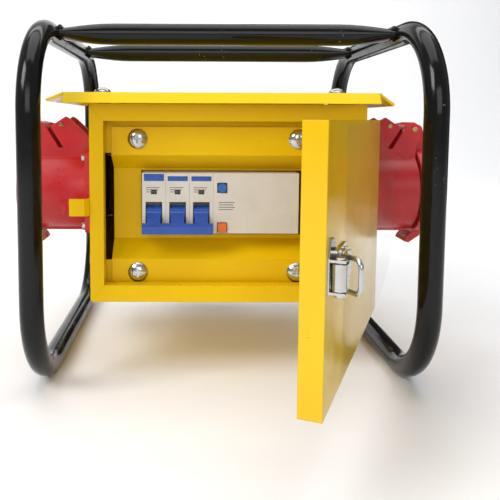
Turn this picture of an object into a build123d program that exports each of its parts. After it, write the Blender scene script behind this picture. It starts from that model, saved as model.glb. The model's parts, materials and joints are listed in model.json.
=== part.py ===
from build123d import *
import os
from math import atan2, cos, degrees, pi, radians, sin, sqrt

os.makedirs("parts", exist_ok=True)

# Portable power distribution box: two tubular side loops, two top carry bars,
# a folded sheet-steel box between them, industrial sockets on both sides,
# a hinged front door with a draw latch, and a residual-current breaker inside.
# Millimetres. X to the right, Y to the rear, Z up, the loops stand on Z = 0.

# ---------------------------------------------------------------- driving sizes
TUBE_D = 16.0            # frame tube outside diameter
TUBE_T = 1.6             # frame tube wall
LOOP_X = 132.0           # loop plane, each side of the middle
LOOP_DEPTH = 272.0       # between front and rear uprights, centre lines
LOOP_TOP = 254.6         # top run centre line
LOOP_BOT = TUBE_D / 2    # bottom run centre line
BEND_R = 60.0            # loop bend radius, centre line
BAR_FRONT = 27.5         # top bars, distance behind the box front plane
BAR_REAR = 162.0
PINCH_W = 23.0           # flattened end of a top bar, width and height
PINCH_H = 8.0
PINCH_L = 40.0           # length over which a bar flattens

BOX_W = 200.0
BOX_D = 165.0
BOX_Z0 = 57.0
BOX_Z1 = 202.0
SHEET = 1.5
FLANGE = 12.4            # front flange width, top and bottom
FLANGE_S = 10.2          # front flange width, sides
LIP = 10.0               # flange return lip, into the box

DOOR_L = 193.0           # hinge axis to free edge
DOOR_BACK = 2.5          # pan behind the hinge axis, hinge side
DOOR_Z0 = 57.5
DOOR_Z1 = 191.0
DOOR_T = 1.5
DOOR_RIM = 11.5          # pan rim depth
DOOR_OPEN = 66.5         # standing angle of the door
HINGE_R = 2.0            # door hinge pin

SOCK_Y = 42.0            # socket axis behind the box front plane
SOCK_Z = 136.5
SCREW_P = 25.5           # half pitch of the socket screws
SOCK_R = 31.0            # socket collar
WELL_R = 26.0
SOCK_OUT = 144.5         # collar mouth, from the middle

RCD_Z = 128.5            # breaker centre height
FACE_Y = 12.4            # breaker front face behind the box front plane
POLE_W = 17.7

# The box front plane sits so that the whole object is centred front to rear.
HINGE_X = 100.5
HINGE_DY = -4.3          # hinge axis in front of the box front plane
FACE_N = 8.0             # door outer face, outward of the hinge axis
_a = radians(DOOR_OPEN)

LOOP_FRONT = -45.0       # front uprights, from the box front plane
LOOP_REAR = LOOP_FRONT + LOOP_DEPTH

F = -25.0                # Y of the box front plane


def front(y):
    return F + y


HY = front(HINGE_DY)
DOORP = Plane(origin=(HINGE_X, HY, 0), x_dir=(-cos(_a), -sin(_a), 0), z_dir=(0, 0, 1))

# ---------------------------------------------------------------- frame loops
LMID = front((LOOP_FRONT + LOOP_REAR) / 2)
LH = LOOP_TOP - LOOP_BOT
with BuildPart() as frame_loop_right:
    with BuildLine(Plane(origin=(LOOP_X, LMID, LOOP_BOT + LH / 2), x_dir=(0, 1, 0), z_dir=(1, 0, 0))) as loop_path:
        FilletPolyline((-LOOP_DEPTH / 2, -LH / 2), (LOOP_DEPTH / 2, -LH / 2), (LOOP_DEPTH / 2, LH / 2),
                       (-LOOP_DEPTH / 2, LH / 2), radius=BEND_R, close=True)
    with BuildSketch(Plane(origin=loop_path.line @ 0, z_dir=loop_path.line % 0)):
        Circle(TUBE_D / 2)
        Circle(TUBE_D / 2 - TUBE_T, mode=Mode.SUBTRACT)
    sweep()
frame_loop_right.part.label = "frame_loop_right"
export_step(frame_loop_right.part, "parts/frame_loop_right.step")

# the full-bore shape of the loops, used to cope what meets them
with BuildPart() as loop_core:
    with BuildSketch(Plane(origin=loop_path.line @ 0, z_dir=loop_path.line % 0)):
        Circle(TUBE_D / 2)
    sweep(path=loop_path.line)
    add(mirror(loop_core.part, about=Plane.YZ))

with BuildPart() as frame_loop_left:
    add(mirror(frame_loop_right.part, about=Plane.YZ))
frame_loop_left.part.label = "frame_loop_left"
export_step(frame_loop_left.part, "parts/frame_loop_left.step")

# ---------------------------------------------------------------- top bars
BAR_END = LOOP_X - TUBE_D / 2 + 0.9


def bar_plane(x, y):
    return Plane(origin=(x, front(y), LOOP_TOP), x_dir=(0, 1, 0), z_dir=(1, 0, 0))


def bar_half(x):
    t = min(1.0, (BAR_END - abs(x)) / PINCH_L)
    k = sin(t * pi / 2)
    return (PINCH_W + (TUBE_D - PINCH_W) * k) / 2, (PINCH_H + (TUBE_D - 0.02 - PINCH_H) * k) / 2


_steps = [BAR_END - PINCH_L * k for k in (0.0, 0.2, 0.4, 0.6, 0.8, 1.0)]
BAR_STEPS = [-x for x in _steps] + _steps[::-1]
with BuildPart() as top_bar_front:
    for x in BAR_STEPS:
        with BuildSketch(bar_plane(x, BAR_FRONT)):
            Ellipse(*bar_half(x))
    loft(ruled=True)
    add(loop_core.part, mode=Mode.SUBTRACT)
top_bar_front.part.label = "top_bar_front"
export_step(top_bar_front.part, "parts/top_bar_front.step")

with BuildPart() as top_bar_rear:
    for x in BAR_STEPS:
        with BuildSketch(bar_plane(x, BAR_REAR)):
            Ellipse(*bar_half(x))
    loft(ruled=True)
    add(loop_core.part, mode=Mode.SUBTRACT)
top_bar_rear.part.label = "top_bar_rear"
export_step(top_bar_rear.part, "parts/top_bar_rear.step")

# weld beads where the bars and rails meet the loops
with BuildPart() as frame_welds:
    for side in (-1, 1):
        for y in (BAR_FRONT, BAR_REAR):
            for zz in (-1, 1):
                with Locations(Location((side * (LOOP_X - TUBE_D / 2 - 0.4), front(y), LOOP_TOP + zz * (PINCH_H / 2 + 0.2)), (90, 0, 0))):
                    Cylinder(1.7, PINCH_W - 5)
    add(loop_core.part, mode=Mode.SUBTRACT)
    for side in (-1, 1):
        for y in (BAR_FRONT, BAR_REAR):
            with BuildSketch(bar_plane(side * (BAR_END - PINCH_L * 0.2), y)):
                Ellipse(*bar_half(BAR_END - PINCH_L * 0.2))
            with BuildSketch(bar_plane(side * BAR_END, y)):
                Ellipse(*bar_half(BAR_END))
            loft(mode=Mode.SUBTRACT)
frame_welds.part.label = "frame_welds"
export_step(frame_welds.part, "parts/frame_welds.step")

# ---------------------------------------------------------------- rear rails and stand-offs
RAIL_W = 25.0
RAIL_T = 4.0
RAIL_Y = LOOP_REAR - TUBE_D / 2 - RAIL_T + 0.8
RAIL_LO = 104.0
RAIL_HI = 170.0
STAND_X = 62.0
STAND_W = 30.0
with BuildPart() as rear_rails:
    for z in (RAIL_LO, RAIL_HI):
        with Locations((0, front(RAIL_Y + RAIL_T / 2), z)):
            Box(2 * LOOP_X + 4, RAIL_T, RAIL_W)
    for side in (-1, 1):
        with BuildSketch(Plane(origin=(side * LOOP_X, front(LOOP_REAR), 0))):
            Circle(TUBE_D / 2)
        extrude(amount=240, mode=Mode.SUBTRACT)
        for z in (RAIL_LO, RAIL_HI):
            with Locations(Location((side * STAND_X, front(RAIL_Y), z), (90, 0, 0))):
                Cylinder(3.3, 20, mode=Mode.SUBTRACT)
rear_rails.part.label = "rear_rails"
export_step(rear_rails.part, "parts/rear_rails.step")

STAND_D = RAIL_Y - BOX_D
with BuildPart() as standoff_channels:
    for side in (-1, 1):
        with Locations((side * STAND_X, front(BOX_D + STAND_D / 2), (RAIL_LO + RAIL_HI) / 2)):
            Box(STAND_W, STAND_D, RAIL_HI - RAIL_LO + RAIL_W)
        with Locations((side * STAND_X + side * 3, front(BOX_D + STAND_D / 2), (RAIL_LO + RAIL_HI) / 2)):
            Box(STAND_W, STAND_D - 6, RAIL_HI - RAIL_LO + RAIL_W + 2, mode=Mode.SUBTRACT)
        for z in (RAIL_LO, RAIL_HI):
            with Locations(Location((side * STAND_X, front(BOX_D + STAND_D / 2), z), (90, 0, 0))):
                Cylinder(3.3, STAND_D + 4, mode=Mode.SUBTRACT)
standoff_channels.part.label = "standoff_channels"
export_step(standoff_channels.part, "parts/standoff_channels.step")

# hex bolts through rails and box back, heads outward, nuts inward
with BuildPart() as mounting_bolts:
    for side in (-1, 1):
        for z in (RAIL_LO, RAIL_HI):
            x = side * STAND_X
            with BuildSketch(Plane(origin=(x, front(RAIL_Y + RAIL_T), z), x_dir=(1, 0, 0), z_dir=(0, 1, 0))):
                RegularPolygon(5.6, 6)
            extrude(amount=4)
            with BuildSketch(Plane(origin=(x, front(RAIL_Y + RAIL_T), z), x_dir=(1, 0, 0), z_dir=(0, -1, 0))):
                Circle(3.0)
            extrude(amount=RAIL_T + 3 + 9)
            with BuildSketch(Plane(origin=(x, front(RAIL_Y - 3), z), x_dir=(1, 0, 0), z_dir=(0, -1, 0))):
                RegularPolygon(5.6, 6)
            extrude(amount=5)
            with BuildSketch(Plane(origin=(x, front(BOX_D + 3), z), x_dir=(1, 0, 0), z_dir=(0, 1, 0))):
                RegularPolygon(5.6, 6)
            extrude(amount=4)
            with BuildSketch(Plane(origin=(x, front(BOX_D + 3), z), x_dir=(1, 0, 0), z_dir=(0, -1, 0))):
                Circle(3.0)
            extrude(amount=SHEET + 3 + 8)
            with BuildSketch(Plane(origin=(x, front(BOX_D - SHEET), z), x_dir=(1, 0, 0), z_dir=(0, -1, 0))):
                RegularPolygon(5.6, 6)
            extrude(amount=5)
mounting_bolts.part.label = "mounting_bolts"
export_step(mounting_bolts.part, "parts/mounting_bolts.step")

# ---------------------------------------------------------------- box shell
BH = BOX_Z1 - BOX_Z0
GLAND_Z = BOX_Z0 + 24.0
ROOF_BOLTS = ((-93.0, 22.0), (83.0, 22.0), (-93.0, 143.0), (83.0, 143.0))
with BuildPart() as box_core:
    with Locations((0, front(0), BOX_Z0)):
        Box(BOX_W, BOX_D, BH, align=(Align.CENTER, Align.MIN, Align.MIN))
    fillet(box_core.edges().filter_by(Axis.Y), radius=2.5)
    with Locations((0, front(SHEET), BOX_Z0 + SHEET)):
        Box(BOX_W - 2 * SHEET, BOX_D - 2 * SHEET, BH - 2 * SHEET, align=(Align.CENTER, Align.MIN, Align.MIN), mode=Mode.SUBTRACT)
    # opening with a return lip folded into the box
    with Locations((0, front(0), BOX_Z0 + FLANGE - SHEET)):
        Box(BOX_W - 2 * FLANGE_S + 2 * SHEET, LIP, BH - 2 * FLANGE + 2 * SHEET, align=(Align.CENTER, Align.MIN, Align.MIN))
    with Locations((0, front(-1), BOX_Z0 + FLANGE)):
        Box(BOX_W - 2 * FLANGE_S, LIP + 2, BH - 2 * FLANGE, align=(Align.CENTER, Align.MIN, Align.MIN), mode=Mode.SUBTRACT)
    # socket holes, roof bolt holes, gland hole, rear bolt holes
    for side in (-1, 1):
        with Locations(Location((side * BOX_W / 2, front(SOCK_Y), SOCK_Z), (0, 90, 0))):
            Cylinder(WELL_R - 1, 12, mode=Mode.SUBTRACT)
        for dy in (-SCREW_P, SCREW_P):
            for dz in (-SCREW_P, SCREW_P):
                with Locations(Location((side * BOX_W / 2, front(SOCK_Y + dy), SOCK_Z + dz), (0, 90, 0))):
                    Cylinder(2.2, 12, mode=Mode.SUBTRACT)
        for z in (RAIL_LO, RAIL_HI):
            with Locations(Location((side * STAND_X, front(BOX_D), z), (90, 0, 0))):
                Cylinder(3.3, 12, mode=Mode.SUBTRACT)
    for (x, y) in ROOF_BOLTS:
        with Locations((x, front(y), BOX_Z1)):
            Cylinder(2.7, 12, mode=Mode.SUBTRACT)
    with Locations(Location((0, front(BOX_D), GLAND_Z), (90, 0, 0))):
        Cylinder(10.2, 12, mode=Mode.SUBTRACT)

# the folded case comes apart at its welded seams: front frame, four walls, back
SEAM = 0.04
with BuildPart() as box_front_frame:
    add(box_core.part)
    with Locations((0, front(-1), BOX_Z0 - 1)):
        Box(BOX_W + 4, LIP + 3, BH + 2, align=(Align.CENTER, Align.MIN, Align.MIN), mode=Mode.INTERSECT)
    with Locations((0, front(SHEET), BOX_Z0)):
        Box(BOX_W + 4, LIP + 3, BH, align=(Align.CENTER, Align.MIN, Align.MIN), mode=Mode.SUBTRACT)
    with Locations((0, front(SHEET), BOX_Z0 + FLANGE - SHEET)):
        Box(BOX_W - 2 * FLANGE_S + 2 * SHEET, LIP - SHEET, BH - 2 * FLANGE + 2 * SHEET, align=(Align.CENTER, Align.MIN, Align.MIN))
    with Locations((0, front(SHEET - 1), BOX_Z0 + FLANGE)):
        Box(BOX_W - 2 * FLANGE_S, LIP + 2, BH - 2 * FLANGE, align=(Align.CENTER, Align.MIN, Align.MIN), mode=Mode.SUBTRACT)
    # mitred corners
    for sx in (-1, 1):
        for (zc, sz) in ((BOX_Z0 + FLANGE, -1), (BOX_Z1 - FLANGE, 1)):
            ang = degrees(atan2(sz * FLANGE, sx * FLANGE_S))
            with Locations(Location((sx * (BOX_W / 2 - FLANGE_S), front(-1), zc), (0, -ang, 0))):
                Box(60, 20, 2 * SEAM, align=(Align.CENTER, Align.MIN, Align.CENTER), mode=Mode.SUBTRACT)
box_front_frame.part.label = "box_front_frame"
export_step(box_front_frame.part, "parts/box_front_frame.step")

with BuildPart() as box_shell:
    add(box_core.part)
    with Locations((0, front(SHEET), BOX_Z0 - 1)):
        Box(BOX_W + 4, BOX_D - 2 * SHEET, BH + 2, align=(Align.CENTER, Align.MIN, Align.MIN), mode=Mode.INTERSECT)
    with Locations((0, front(0), BOX_Z0 + SHEET)):
        Box(BOX_W - 2 * SHEET, BOX_D, BH - 2 * SHEET, align=(Align.CENTER, Align.MIN, Align.MIN), mode=Mode.SUBTRACT)
    for side in (-1, 1):
        with Locations((side * (BOX_W / 2 - SHEET + SEAM), front(0), BOX_Z0 - 1)):
            Box(2 * SEAM, BOX_D + 2, SHEET + 1.01, align=(Align.CENTER, Align.MIN, Align.MIN), mode=Mode.SUBTRACT)
        with Locations((side * (BOX_W / 2 - SHEET + SEAM), front(0), BOX_Z1 - SHEET - 0.01)):
            Box(2 * SEAM, BOX_D + 2, SHEET + 1, align=(Align.CENTER, Align.MIN, Align.MIN), mode=Mode.SUBTRACT)
box_shell.part.label = "box_shell"
export_step(box_shell.part, "parts/box_shell.step")

with BuildPart() as box_back:
    add(box_core.part)
    with Locations((0, front(BOX_D - SHEET), BOX_Z0 - 1)):
        Box(BOX_W + 4, SHEET + 2, BH + 2, align=(Align.CENTER, Align.MIN, Align.MIN), mode=Mode.INTERSECT)
box_back.part.label = "box_back"
export_step(box_back.part, "parts/box_back.step")

# hook tab for the latch, folded off the box side, root leaning outward
KEEP_Z = 127.2
KEEP_H = 12.6
with BuildPart() as keeper_tab:
    with BuildSketch(Plane.XY.offset(KEEP_Z - KEEP_H / 2)):
        with BuildLine():
            Polyline((-100, front(4.6)), (-101.5, front(4.6)), (-101.5, front(0.3)), (-103.9, front(-2.2)), (-114.3, front(-2.2)),
                     (-114.3, front(-3.7)), (-103.2, front(-3.7)), (-100.0, front(-0.4)), (-100, front(4.6)))
        make_face()
    extrude(amount=KEEP_H)
keeper_tab.part.label = "keeper_tab"
export_step(keeper_tab.part, "parts/keeper_tab.step")

# ---------------------------------------------------------------- roof cover
ROOF_CX = -5.0
ROOF_HX = 113.0          # flat part, half width
ROOF_Y0 = -7.0
ROOF_Y1 = 172.0
ROOF_Z = 208.4           # underside of the flat
LIP_OUT = {-1: 11.5, 1: 9.5}           # side lips lean outward and down
LIP_DN = {-1: 5.0, 1: 7.6}
with BuildPart() as roof_cover:
    with Locations((ROOF_CX, front(ROOF_Y0), ROOF_Z)):
        Box(2 * ROOF_HX, ROOF_Y1 - ROOF_Y0, SHEET, align=(Align.CENTER, Align.MIN, Align.MIN))
    # side lips
    for side in (-1, 1):
        xe = ROOF_CX + side * ROOF_HX
        with BuildSketch(Plane(origin=(0, front(ROOF_Y0 + 3), 0), x_dir=(1, 0, 0), z_dir=(0, -1, 0))):
            with BuildLine():
                Polyline((xe - side * 1, ROOF_Z), (xe - side * 1, ROOF_Z + SHEET), (xe, ROOF_Z + SHEET),
                         (xe + side * (LIP_OUT[side] + 0.9), ROOF_Z + SHEET - LIP_DN[side]), (xe + side * LIP_OUT[side], ROOF_Z - LIP_DN[side]),
                         (xe - side * 1, ROOF_Z))
            make_face()
        extrude(amount=-(ROOF_Y1 - ROOF_Y0 - 6))
    # front and rear lips, steeper, with rounded lower corners
    for (ye, s) in ((ROOF_Y0, -1), (ROOF_Y1, 1)):
        with BuildSketch(Plane(origin=(ROOF_CX - ROOF_HX + 1.5, 0, 0), x_dir=(0, 1, 0), z_dir=(1, 0, 0))):
            with BuildLine():
                Polyline((front(ye - s * 1), ROOF_Z), (front(ye - s * 1), ROOF_Z + SHEET), (front(ye), ROOF_Z + SHEET),
                         (front(ye + s * 5.4), ROOF_Z + SHEET - 7.8), (front(ye + s * 3.9), ROOF_Z - 6.3),
                         (front(ye - s * 1), ROOF_Z))
            make_face()
        extrude(amount=2 * ROOF_HX - 3)
    for (x, y) in ROOF_BOLTS:
        with Locations((x, front(y), ROOF_Z)):
            Cylinder(2.7, 12, mode=Mode.SUBTRACT)
roof_cover.part.label = "roof_cover"
export_step(roof_cover.part, "parts/roof_cover.step")

with BuildPart() as roof_spacers:
    for (x, y) in ROOF_BOLTS:
        with Locations((x, front(y), BOX_Z1)):
            Cylinder(6.5, ROOF_Z - BOX_Z1, align=(Align.CENTER, Align.CENTER, Align.MIN))
            Cylinder(2.7, ROOF_Z - BOX_Z1, align=(Align.CENTER, Align.CENTER, Align.MIN), mode=Mode.SUBTRACT)
roof_spacers.part.label = "roof_spacers"
export_step(roof_spacers.part, "parts/roof_spacers.step")

ROOF_T = ROOF_Z + SHEET
with BuildPart() as roof_washers:
    for (x, y) in ROOF_BOLTS:
        with Locations((x, front(y), ROOF_T)):
            Cylinder(7.5, 1.2, align=(Align.CENTER, Align.CENTER, Align.MIN))
            Cylinder(2.7, 1.2, align=(Align.CENTER, Align.CENTER, Align.MIN), mode=Mode.SUBTRACT)
roof_washers.part.label = "roof_washers"
export_step(roof_washers.part, "parts/roof_washers.step")

with BuildPart() as roof_bolts:
    for (x, y) in ROOF_BOLTS:
        with BuildSketch(Plane(origin=(x, front(y), ROOF_T + 1.2), x_dir=(1, 0, 0), z_dir=(0, -1, 0))):
            with BuildLine():
                Polyline((0, 0), (6.2, 0), (6.2, 0.8))
                ThreePointArc((6.2, 0.8), (3.6, 2.9), (0, 3.6))
                Line((0, 3.6), (0, 0))
            make_face()
        revolve(axis=Axis((x, front(y), 0), (0, 0, 1)))
        with Locations((x, front(y), BOX_Z1 - SHEET - 6.5)):
            Cylinder(2.5, ROOF_T + 1.2 - BOX_Z1 + SHEET + 6.5, align=(Align.CENTER, Align.CENTER, Align.MIN))
        with Locations((x, front(y), BOX_Z1 - SHEET - 4.2)):
            Cylinder(4.6, 4.2, align=(Align.CENTER, Align.CENTER, Align.MIN))
        with Locations((x, front(y), ROOF_T + 1.2 + 3.2)):
            Box(5.2, 0.9, 2.2, mode=Mode.SUBTRACT)
            Box(0.9, 5.2, 2.2, mode=Mode.SUBTRACT)
roof_bolts.part.label = "roof_bolts"
export_step(roof_bolts.part, "parts/roof_bolts.step")

# ---------------------------------------------------------------- inner panel
PAN_X0 = -85.5
PAN_X1 = 73.0
PY = 12.0                # strip face behind the box front plane
PM = 28.0                # recessed middle
PANEL_SCREWS = ((-66.0, 176.5), (53.0, 176.5), (-66.0, 76.6), (53.0, 76.6))
WIN_X0, WIN_X1 = -64.4, 60.5
WIN_Z0, WIN_Z1 = 102.6, 151.9
with BuildPart() as inner_panel:
    with BuildSketch(Plane(origin=(PAN_X0, 0, 0), x_dir=(0, 1, 0), z_dir=(1, 0, 0))):
        with BuildLine():
            Polyline((front(PY), 66.0), (front(PY), 86.5), (front(PM), 99.4), (front(PM), 153.6), (front(PY), 164.4),
                     (front(PY), 185.6), (front(PY + SHEET), 185.6), (front(PY + SHEET), 165.3),
                     (front(PM + SHEET), 154.5), (front(PM + SHEET), 98.6), (front(PY + SHEET), 85.7),
                     (front(PY + SHEET), 66.0), (front(PY), 66.0))
        make_face()
    extrude(amount=PAN_X1 - PAN_X0)
    with Locations(((WIN_X0 + WIN_X1) / 2, front(PM), (WIN_Z0 + WIN_Z1) / 2)):
        Box(WIN_X1 - WIN_X0, 8, WIN_Z1 - WIN_Z0, mode=Mode.SUBTRACT)
    for (x, z) in PANEL_SCREWS:
        with Locations(Location((x, front(PY), z), (90, 0, 0))):
            Cylinder(2.4, 8, mode=Mode.SUBTRACT)
inner_panel.part.label = "inner_panel"
export_step(inner_panel.part, "parts/inner_panel.step")

# angles welded to roof and floor of the box, carrying the panel
ANG_Y = PY + SHEET
with BuildPart() as panel_angles:
    with Locations((-11, front(ANG_Y), BOX_Z1 - SHEET)):
        Box(174, 2, 34.5, align=(Align.CENTER, Align.MIN, Align.MAX))
    with Locations((-6.2, front(ANG_Y), BOX_Z1 - SHEET)):
        Box(150, 14, 2, align=(Align.CENTER, Align.MIN, Align.MAX))
    with Locations((-11, front(ANG_Y), BOX_Z0 + SHEET)):
        Box(174, 2, 27, align=(Align.CENTER, Align.MIN, Align.MIN))
    with Locations((-6.2, front(ANG_Y), BOX_Z0 + SHEET)):
        Box(150, 14, 2, align=(Align.CENTER, Align.MIN, Align.MIN))
    for (x, z) in PANEL_SCREWS:
        with Locations(Location((x, front(ANG_Y), z), (90, 0, 0))):
            Cylinder(2.4, 12, mode=Mode.SUBTRACT)
    for (x, y) in ROOF_BOLTS:
        with Locations((x, front(y), BOX_Z1)):
            Cylinder(5.5, 20, mode=Mode.SUBTRACT)
panel_angles.part.label = "panel_angles"
export_step(panel_angles.part, "parts/panel_angles.step")

with BuildPart() as panel_screws:
    for (x, z) in PANEL_SCREWS:
        with BuildSketch(Plane(origin=(x, front(PY), z), x_dir=(0, 0, 1), z_dir=(1, 0, 0))):
            with BuildLine():
                Polyline((0, 0), (7.3, 0), (7.3, 0.9))
                ThreePointArc((7.3, 0.9), (4.6, 2.9), (0, 3.7))
                Line((0, 3.7), (0, 0))
            make_face()
        revolve(axis=Axis((x, front(PY), z), (0, 1, 0)))
        with Locations(Location((x, front(PY), z), (-90, 0, 0))):
            Cylinder(2.2, 9, align=(Align.CENTER, Align.CENTER, Align.MIN))
        with Locations((x, front(PY - 3.2), z)):
            Box(7.0, 2.4, 1.5, mode=Mode.SUBTRACT)
            Box(1.5, 2.4, 7.0, mode=Mode.SUBTRACT)
panel_screws.part.label = "panel_screws"
export_step(panel_screws.part, "parts/panel_screws.step")

# ---------------------------------------------------------------- rail and breaker
RAIL_DY = 80.0           # rail face behind the box front plane
with BuildPart() as din_rail:
    with BuildSketch(Plane(origin=(-72, 0, 0), x_dir=(0, 1, 0), z_dir=(1, 0, 0))):
        with BuildLine():
            Polyline((front(RAIL_DY), RCD_Z + 17.5), (front(RAIL_DY), RCD_Z + 12.5), (front(RAIL_DY + 6.5), RCD_Z + 12.5),
                     (front(RAIL_DY + 6.5), RCD_Z - 12.5), (front(RAIL_DY), RCD_Z - 12.5), (front(RAIL_DY), RCD_Z - 17.5),
                     (front(RAIL_DY + 1), RCD_Z - 17.5), (front(RAIL_DY + 1), RCD_Z - 13.5), (front(RAIL_DY + 7.5), RCD_Z - 13.5),
                     (front(RAIL_DY + 7.5), RCD_Z + 13.5), (front(RAIL_DY + 1), RCD_Z + 13.5), (front(RAIL_DY + 1), RCD_Z + 17.5),
                     (front(RAIL_DY), RCD_Z + 17.5))
        make_face()
    extrude(amount=138)
din_rail.part.label = "din_rail"
export_step(din_rail.part, "parts/din_rail.step")

# two bent legs carry the rail from the box back
with BuildPart() as rail_legs:
    for x in (-48.0, 42.0):
        with Locations((x, front(RAIL_DY + 7.5), RCD_Z)):
            Box(14, 2, 24, align=(Align.CENTER, Align.MIN, Align.CENTER))
        with Locations((x + 6, front(RAIL_DY + 7.5), RCD_Z)):
            Box(2, BOX_D - SHEET - RAIL_DY - 7.5, 24, align=(Align.CENTER, Align.MIN, Align.CENTER))
        with Locations((x, front(BOX_D - SHEET - 2), RCD_Z)):
            Box(14, 2, 24, align=(Align.CENTER, Align.MIN, Align.CENTER))
rail_legs.part.label = "rail_legs"
export_step(rail_legs.part, "parts/rail_legs.step")

RX0 = -62.9              # left side of the first pole
TOG_Z = 120.0            # toggle pivot height
TOG_Y = FACE_Y + 6.0     # toggle pivot depth
RCD_X0 = RX0 + 3 * POLE_W
RCD_X1 = 54.0
with BuildPart() as breaker_poles:
    for i in range(3):
        x0 = RX0 + i * POLE_W
        with BuildSketch(Plane(origin=(x0 + 0.05, 0, 0), x_dir=(0, 1, 0), z_dir=(1, 0, 0))):
            with BuildLine():
                Polyline((front(FACE_Y), RCD_Z - 22.6), (front(FACE_Y), RCD_Z + 22.6), (front(32), RCD_Z + 22.6),
                         (front(32), RCD_Z + 41), (front(RAIL_DY - 0.5), RCD_Z + 41), (front(RAIL_DY - 0.5), RCD_Z - 41),
                         (front(32), RCD_Z - 41), (front(32), RCD_Z - 22.6), (front(FACE_Y), RCD_Z - 22.6))
            make_face()
        extrude(amount=POLE_W - 0.1)
        # lower front step and toggle slot
        with Locations((x0 + POLE_W / 2, front(FACE_Y), TOG_Z)):
            Box(12.4, 26.0, 19.0, mode=Mode.SUBTRACT)
        with Locations((x0 + POLE_W / 2, front(FACE_Y), 137.0)):
            Box(4.4, 1.2, 3.6, mode=Mode.SUBTRACT)
        for s in (-1, 1):
            with Locations(Location((x0 + POLE_W / 2, front(32), RCD_Z + s * 33), (90, 0, 0))):
                Cylinder(3.2, 16, mode=Mode.SUBTRACT)
breaker_poles.part.label = "breaker_poles"
export_step(breaker_poles.part, "parts/breaker_poles.step")

with BuildPart() as rcd_module:
    with BuildSketch(Plane(origin=(RCD_X0 + 0.05, 0, 0), x_dir=(0, 1, 0), z_dir=(1, 0, 0))):
        with BuildLine():
            Polyline((front(FACE_Y), RCD_Z - 22.6), (front(FACE_Y), RCD_Z + 22.6), (front(32), RCD_Z + 22.6),
                     (front(32), RCD_Z + 41), (front(RAIL_DY - 0.5), RCD_Z + 41), (front(RAIL_DY - 0.5), RCD_Z - 41),
                     (front(32), RCD_Z - 41), (front(32), RCD_Z - 22.6), (front(FACE_Y), RCD_Z - 22.6))
        make_face()
    extrude(amount=RCD_X1 - RCD_X0 - 0.05)
    with Locations((-3.1, front(FACE_Y), 140.2)):
        Box(7.6, 12, 7.6, mode=Mode.SUBTRACT)
    with Locations((-3.1, front(FACE_Y), 110.4)):
        Box(7.6, 12, 7.6, mode=Mode.SUBTRACT)
    for k in range(3):
        with Locations(Location((RCD_X0 + 11 + 20 * k, front(32), RCD_Z - 33), (90, 0, 0))):
            Cylinder(3.2, 16, mode=Mode.SUBTRACT)
rcd_module.part.label = "rcd_module"
export_step(rcd_module.part, "parts/rcd_module.step")

with BuildPart() as terminal_screws:
    for i in range(3):
        for s in (-1, 1):
            with Locations(Location((RX0 + (i + 0.5) * POLE_W, front(33.5), RCD_Z + s * 33), (90, 0, 0))):
                Cylinder(2.9, 4.9, align=(Align.CENTER, Align.CENTER, Align.MAX))
            with Locations((RX0 + (i + 0.5) * POLE_W, front(33.5), RCD_Z + s * 33)):
                Box(4.4, 1.6, 1.0, mode=Mode.SUBTRACT)
    for k in range(3):
        with Locations(Location((RCD_X0 + 11 + 20 * k, front(33.5), RCD_Z - 33), (90, 0, 0))):
            Cylinder(2.9, 4.9, align=(Align.CENTER, Align.CENTER, Align.MAX))
        with Locations((RCD_X0 + 11 + 20 * k, front(33.5), RCD_Z - 33)):
            Box(4.4, 1.6, 1.0, mode=Mode.SUBTRACT)
terminal_screws.part.label = "terminal_screws"
export_step(terminal_screws.part, "parts/terminal_screws.step")

with BuildPart() as status_windows:
    for i in range(3):
        with Locations((RX0 + (i + 0.5) * POLE_W, front(FACE_Y + 0.2), 137.0)):
            Box(4.2, 0.4, 3.4, align=(Align.CENTER, Align.MIN, Align.CENTER))
status_windows.part.label = "status_windows"
export_step(status_windows.part, "parts/status_windows.step")

# toggle handles: three rockers on one pivot line, joined by a tie bar below
with BuildPart() as breaker_toggle:
    for i in range(3):
        xc = RX0 + (i + 0.5) * POLE_W
        with BuildSketch(Plane(origin=(xc - 5.6, 0, 0), x_dir=(0, 1, 0), z_dir=(1, 0, 0))):
            with Locations((front(TOG_Y), TOG_Z)):
                Circle(6.2)
        extrude(amount=11.2)
        with BuildSketch(Plane(origin=(xc - 5.0, 0, 0), x_dir=(0, 1, 0), z_dir=(1, 0, 0))):
            with BuildLine():
                Polyline((front(TOG_Y - 3), TOG_Z + 4.0), (front(TOG_Y - 3), TOG_Z - 5.0), (front(FACE_Y - 8.5), TOG_Z - 12.2),
                         (front(FACE_Y - 9.5), TOG_Z - 7.2), (front(TOG_Y - 3), TOG_Z + 4.0))
            make_face()
        extrude(amount=10.0)
    with BuildSketch(Plane(origin=(RX0 + 0.4, 0, 0), x_dir=(0, 1, 0), z_dir=(1, 0, 0))):
        with BuildLine():
            Polyline((front(FACE_Y - 7.0), TOG_Z - 5.4), (front(FACE_Y - 3.2), TOG_Z - 7.6), (front(FACE_Y - 3.0), TOG_Z - 13.4),
                     (front(FACE_Y - 9.6), TOG_Z - 13.4), (front(FACE_Y - 10.6), TOG_Z - 7.6), (front(FACE_Y - 7.0), TOG_Z - 5.4))
        make_face()
    extrude(amount=3 * POLE_W - 0.8)
breaker_toggle.part.label = "breaker_toggle"
export_step(breaker_toggle.part, "parts/breaker_toggle.step")

with BuildPart() as test_button:
    with BuildSketch(Plane(origin=(-3.1, front(FACE_Y + 3), 140.2), x_dir=(1, 0, 0), z_dir=(0, -1, 0))):
        RegularPolygon(3.3, 8, major_radius=False)
    extrude(amount=4.2)
test_button.part.label = "test_button"
export_step(test_button.part, "parts/test_button.step")

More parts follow.
